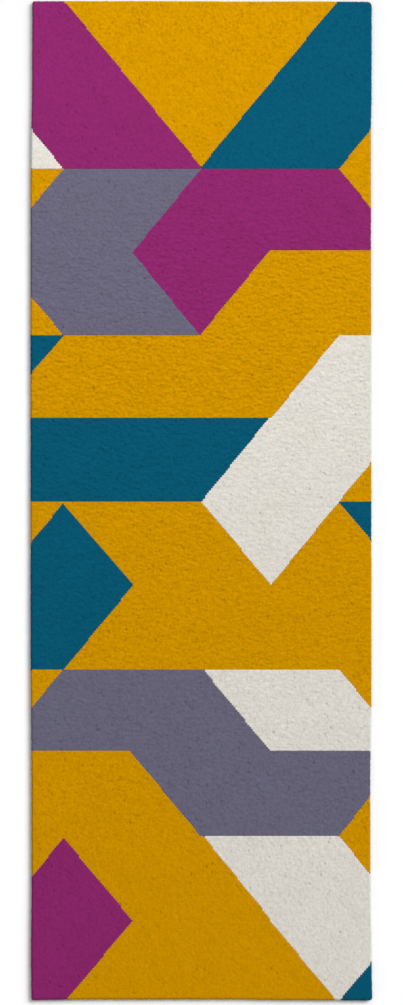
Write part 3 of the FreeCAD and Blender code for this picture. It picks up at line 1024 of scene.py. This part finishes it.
def cotton(name, code, painted_shade_code, yarn, bands=None):
    """Woven cotton with slubs in its yarn, whose yarns lie yarn metres apart. Where the weave and
    its slubs lie lower it is painted darker: painted shade. It is a plain weave, or a herringbone
    if bands says across which axis, 0 or 1, its bands lie side by side."""
    m = Nodes(name)
    split = m.add("ShaderNodeSeparateXYZ")
    m.link(m.position, split.inputs[0])
    wander = m.math("MULTIPLY", m.noise(scale=60.0), YARN_WANDER)
    turns = 2.0 * math.pi / yarn
    first, second = (1, 0) if bands == 1 else (0, 1)
    x = m.math("MULTIPLY_ADD", split.outputs[first], turns, wander)
    y = m.math("MULTIPLY_ADD", split.outputs[second], turns, wander)
    if bands is None:
        weave = m.math("MULTIPLY", m.math("SINE", x), m.math("SINE", y))
    else:
        band = m.math("ABSOLUTE", m.math("SINE", m.math("MULTIPLY", x, BAND_TURNS)))
        weave = m.math("SINE", m.math("MULTIPLY_ADD", band, BAND_LEAN, y))
    over = m.math("MULTIPLY_ADD", weave, 0.5, 0.5)
    slub = m.noise(scale=340.0, detail=3.0, rough=0.6, stretch=(1.0, 0.25, 1.0))
    # Painted shade: the raised weave and slubs get the pale colour, and the lower parts the darker one
    light = m.math("MULTIPLY_ADD", over, 0.6, m.math("MULTIPLY", slub, 0.4))
    soil = m.varied(1.0, m.noise(scale=5.0, detail=3.0), 0.14)
    rough = m.varied(0.88, slub, 0.12)
    m.bump(m.math("MULTIPLY_ADD", slub, 0.5, over), strength=0.7, distance=0.4 * MM)
    colour = m.scaled(m.mix(light, painted_shade_code, code), soil)
    return m.finish(colour, rough, specular=0.2, sheen=0.05)


def dried_latex():
    """Dried latex: cloudy cream, with small bubbles and trowel marks."""
    m = Nodes("latex")
    cloud = m.noise(scale=14.0, detail=4.0, rough=0.6)
    bubble = m.noise(scale=420.0, detail=1.0)
    rough = m.varied(0.6, bubble, 0.2)
    m.bump(m.math("MULTIPLY_ADD", bubble, 0.4, cloud), strength=0.5, distance=0.4 * MM)
    return m.finish(m.mix(cloud, "D9D0B8", "C4B897"), rough, specular=0.4)


WOOL_CODES = {
    "gold": ("B37F00", "AE7A00"),
    "teal": ("074B63", "07475D"),
    "magenta": ("7A215E", "752056"),
    "slate": ("5A586B", "585565"),
    "ivory": ("C2BFB8", "BEB9B0"),
}
WOOL = {name: wool("wool_" + name, *codes) for name, codes in WOOL_CODES.items()}
CLOTH = cotton("cotton_tufting_cloth", "CFC3AA", "A2946F", yarn=1.6 * MM)
CANVAS = cotton("cotton_canvas", "C9BC9C", "94855F", yarn=2.4 * MM)
SIDE_TAPE = cotton("cotton_tape_side", "BBAB86", "8C7B55", yarn=1.5 * MM, bands=0)
END_TAPE = cotton("cotton_tape_end", "BBAB86", "8C7B55", yarn=1.5 * MM, bands=1)
LATEX = dried_latex()


# -------- pieces

def new_object(name, data):
    thing = bpy.data.objects.new(name, data)
    bpy.context.scene.collection.objects.link(thing)
    return thing


def add_piece(name, mesh, material, node):
    piece = new_object(name, mesh)
    mesh.materials.append(material)
    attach(piece, "root")
    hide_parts(node)
    return piece


def add_pile():
    """Every field of pile, each a piece of its own."""
    lattice, layers, way_out, colour = build_pile()
    strands, strand_field = rim_strands(lattice, layers, way_out)
    pieces = []
    for number, node in enumerate(PILE_NODES):
        name = node.replace("pile_", "tufts_")
        own_strands = strands[strand_field == number]
        mesh = pile_mesh(name, layers, colour, lattice.label == number, own_strands)
        wool_name = colour_of(node)
        pieces.append(add_piece(name, mesh, WOOL[wool_name], node))
    return pieces


def add_layer(name, section, step, material, node, ripple_above=False, ripple_below=False):
    mesh = layer_mesh(name, section, step, ripple_above, ripple_below)
    return add_piece(name, mesh, material, node)


def add_tape(side):
    material = SIDE_TAPE if side in ("left", "right") else END_TAPE
    mesh = tape_mesh("tape_" + side, side)
    return add_piece("tape_" + side, mesh, material, "edge_tape_" + side)


PILE = add_pile()
CLOTH_PIECE = add_layer("folded_cloth", CLOTH_SECTION, CLOTH_STEP, CLOTH, "tufting_cloth")
add_layer("latex_layer", LATEX_SECTION, BACK_STEP, LATEX, "latex_coat", ripple_below=True)
CANVAS_PIECE = add_layer(
    "canvas_back", CANVAS_SECTION, BACK_STEP, CANVAS, "backing_canvas",
    ripple_above=True, ripple_below=True,
)
TAPES = {side: add_tape(side) for side in ("top", "bottom", "left", "right")}


# -------- floor, light and camera

# Brightness of a white floor, as shares of white: from all round, from the key light face on,
# and from a softbox as strong as this one, but small and 1 m away
LIGHT_ALL_ROUND = 0.459
LIGHT_FROM_KEY = 0.829
LIGHT_FROM_SOFTBOX = 1.244
SEEN_AROUND = 1.05

KEY_AZIMUTH = math.radians(36.0)
KEY_ELEVATION = math.radians(38.0)
KEY_WIDTH = math.radians(36.5)

SOFTBOX_Y = 1.37
SOFTBOX_HEIGHT = 1.63
SOFTBOX_SIZE = (2.27, 1.30)

# The floor's grey at distances from the place under the softbox, as shares of FLOOR_ALBEDO. It
# is greyer where more light falls on it, so it looks evenly white.
FLOOR_ALBEDO = 0.80
FLOOR_GREYS = (
    (0.0, 0.76), (0.45, 0.78), (0.73, 0.82), (1.05, 0.91), (1.33, 0.95), (1.72, 0.97), (2.6, 1.0)
)
FLOOR_HALF = 120.0
FLOOR_DROP = 0.3 * MM

# The camera looks straight down through a long lens. Its frame is 2 * FRAME_MARGIN longer than
# the rug, and the middle of the frame lies a little off the middle of the rug.
LENS = 200.0
SENSOR = 36.0
FRAME_MARGIN = 7.48 * MM
CAMERA_X, CAMERA_Y = 0.724 * MM, -4.585 * MM
CLIP_END = 400.0


def floor_paper():
    """Matt paper, its grey by its distance from the place under the softbox."""
    m = Nodes("floor")
    away = m.add("ShaderNodeVectorMath", operation="DISTANCE")
    m.link(m.position, away.inputs[0])
    away.inputs[1].default_value = (0.0, SOFTBOX_Y, 0.0)
    farthest = FLOOR_GREYS[-1][0]
    ramp = m.add("ShaderNodeValToRGB")
    m.link(m.math("DIVIDE", away.outputs["Value"], farthest), ramp.inputs["Fac"])
    stops = ramp.color_ramp.elements
    while len(stops) < len(FLOOR_GREYS):
        stops.new(0.5)
    for stop, (distance, share) in zip(stops, FLOOR_GREYS):
        stop.position = distance / farthest
        grey = FLOOR_ALBEDO * share
        stop.color = (grey, grey, grey, 1.0)
    return m.finish(ramp.outputs["Color"], 0.9, specular=0.0)


def make_floor():
    mesh = bpy.data.meshes.new("floor")
    signs = ((-1, -1), (1, -1), (1, 1), (-1, 1))
    corners = [(x * FLOOR_HALF, y * FLOOR_HALF, 0.0) for x, y in signs]
    mesh.from_pydata(corners, [], [(0, 1, 2, 3)])
    mesh.materials.append(floor_paper())
    floor = new_object("floor", mesh)
    floor.location.z = -FLOOR_DROP


def make_world(strength, seen):
    """Even light from all round. The camera sees it as the same white as the floor."""
    world = bpy.data.worlds.new("studio")
    bpy.context.scene.world = world
    world.use_nodes = True
    tree = world.node_tree
    tree.nodes.clear()
    out = tree.nodes.new("ShaderNodeOutputWorld")
    path = tree.nodes.new("ShaderNodeLightPath")
    mix = tree.nodes.new("ShaderNodeMixShader")
    tree.links.new(path.outputs["Is Camera Ray"], mix.inputs[0])
    for number, level in ((1, strength), (2, seen)):
        light = tree.nodes.new("ShaderNodeBackground")
        light.inputs["Color"].default_value = (1.0, 1.0, 1.0, 1.0)
        light.inputs["Strength"].default_value = level
        tree.links.new(light.outputs[0], mix.inputs[number])
    tree.links.new(mix.outputs[0], out.inputs[0])


def aim(obj, place, target):
    obj.location = Vector(place)
    direction = Vector(target) - Vector(place)
    obj.rotation_euler = direction.to_track_quat("-Z", "Y").to_euler()


def make_key(level):
    """A wide, even light from far off. A white floor that faces it is lit to the given level."""
    data = bpy.data.lights.new("key", "SUN")
    data.energy = math.pi * level
    data.angle = KEY_WIDTH
    flat = math.cos(KEY_ELEVATION)
    place = (flat * math.cos(KEY_AZIMUTH), flat * math.sin(KEY_AZIMUTH), math.sin(KEY_ELEVATION))
    aim(new_object("key", data), place, (0.0, 0.0, 0.0))


def make_softbox(level):
    """A lamp panel that faces down, over the upper end of the rug. Far below it, the level is a
    white floor's brightness times the square of its distance."""
    data = bpy.data.lights.new("softbox", "AREA")
    data.shape = "RECTANGLE"
    data.size, data.size_y = SOFTBOX_SIZE
    data.energy = level * math.pi**2
    box = new_object("softbox", data)
    aim(box, (0.0, SOFTBOX_Y, SOFTBOX_HEIGHT), (0.0, SOFTBOX_Y, 0.0))
    box.visible_camera = False
    box.visible_glossy = False


def make_camera():
    data = bpy.data.cameras.new("camera")
    data.lens = LENS
    data.sensor_width = SENSOR
    data.clip_end = CLIP_END
    camera = new_object("camera", data)
    distance = (HALF_Y + FRAME_MARGIN) * data.lens / (data.sensor_width / 2.0)
    camera.location = (CAMERA_X, CAMERA_Y, PILE_TOP + distance)
    bpy.context.scene.camera = camera


make_floor()
make_world(LIGHT_ALL_ROUND / FLOOR_ALBEDO, SEEN_AROUND)
make_key(LIGHT_FROM_KEY / FLOOR_ALBEDO)
make_softbox(LIGHT_FROM_SOFTBOX / FLOOR_ALBEDO)
make_camera()
bpy.context.scene.view_settings.view_transform = "Standard"
